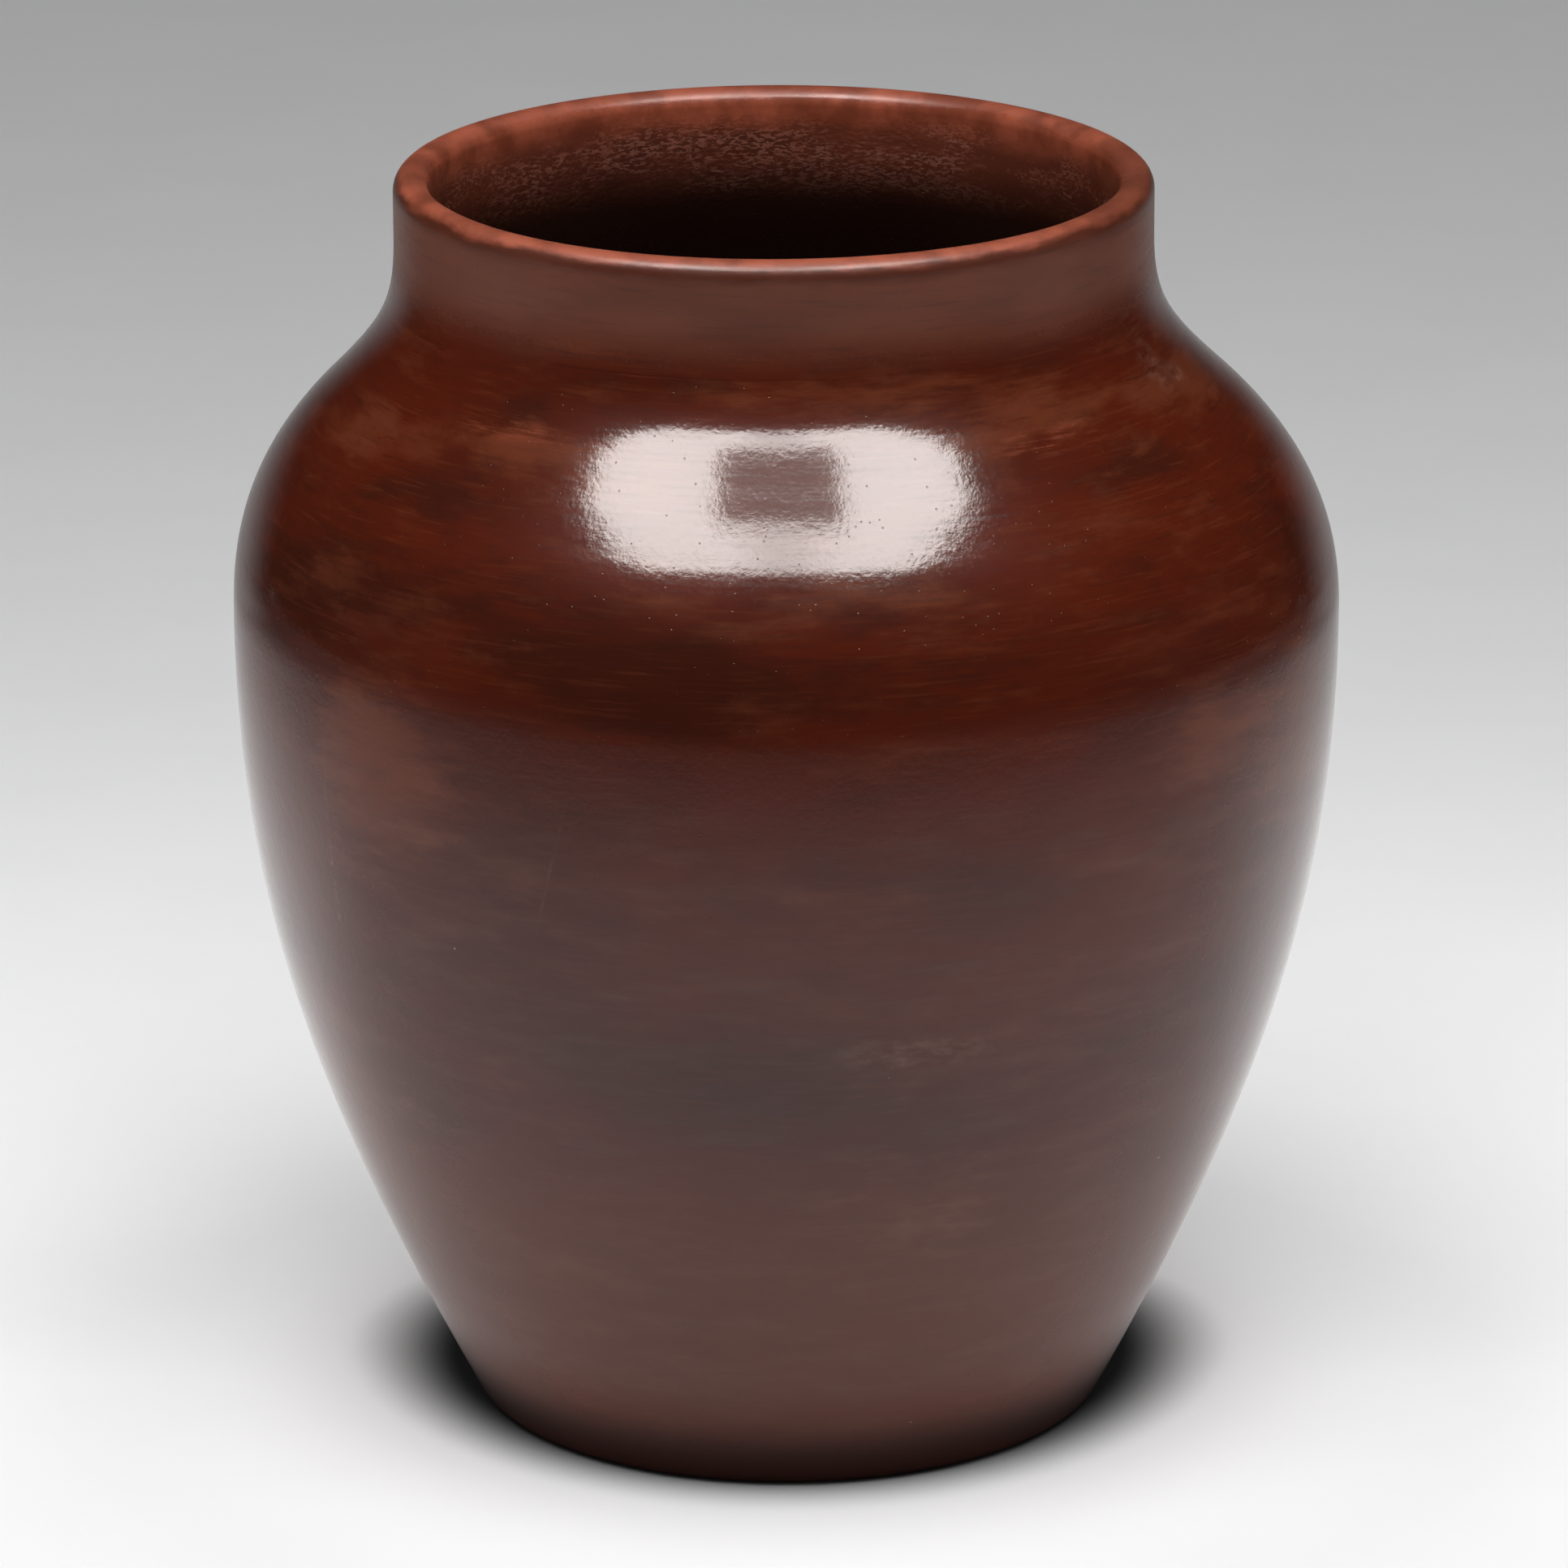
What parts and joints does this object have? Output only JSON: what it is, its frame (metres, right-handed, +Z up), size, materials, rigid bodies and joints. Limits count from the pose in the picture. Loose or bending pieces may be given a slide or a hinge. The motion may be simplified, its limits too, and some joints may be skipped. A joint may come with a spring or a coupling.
{
  "type": "pottery vase",
  "caption": "Wide-shouldered burnished clay vase, built of luted coil courses on a flat base disc, with an upright neck and a rounded lip, for holding cut stems and water.",
  "frame": {"origin": "centre of the flat underside", "axes": "+Z up along the vase's axis; the neck sits a little off that axis, towards -X; -Y faces the viewer of the picture"},
  "size_m": [0.1824, 0.1824, 0.21],
  "materials": {
    "burnished_slip": "dark red-brown slip, hand-burnished to a soft gloss",
    "rubbed_rim": "the same slip, rubbed back to lighter clay on the lip",
    "bare_clay": "burnished at the heel, bare fired clay underneath and inside"
  },
  "bodies": {
    "root": {"base_disc": "bare_clay", "lower_wall_coil_1": "burnished_slip", "lower_wall_coil_2": "burnished_slip", "lower_wall_coil_3": "burnished_slip", "lower_wall_coil_4": "burnished_slip", "lower_wall_coil_5": "burnished_slip", "belly_coil_1": "burnished_slip", "belly_coil_2": "burnished_slip", "belly_coil_3": "burnished_slip", "belly_coil_4": "burnished_slip", "belly_coil_5": "burnished_slip", "shoulder_coil_1": "burnished_slip", "shoulder_coil_2": "burnished_slip", "neck_coil": "burnished_slip", "rim_coil": "rubbed_rim"}
  },
  "joints": []
}
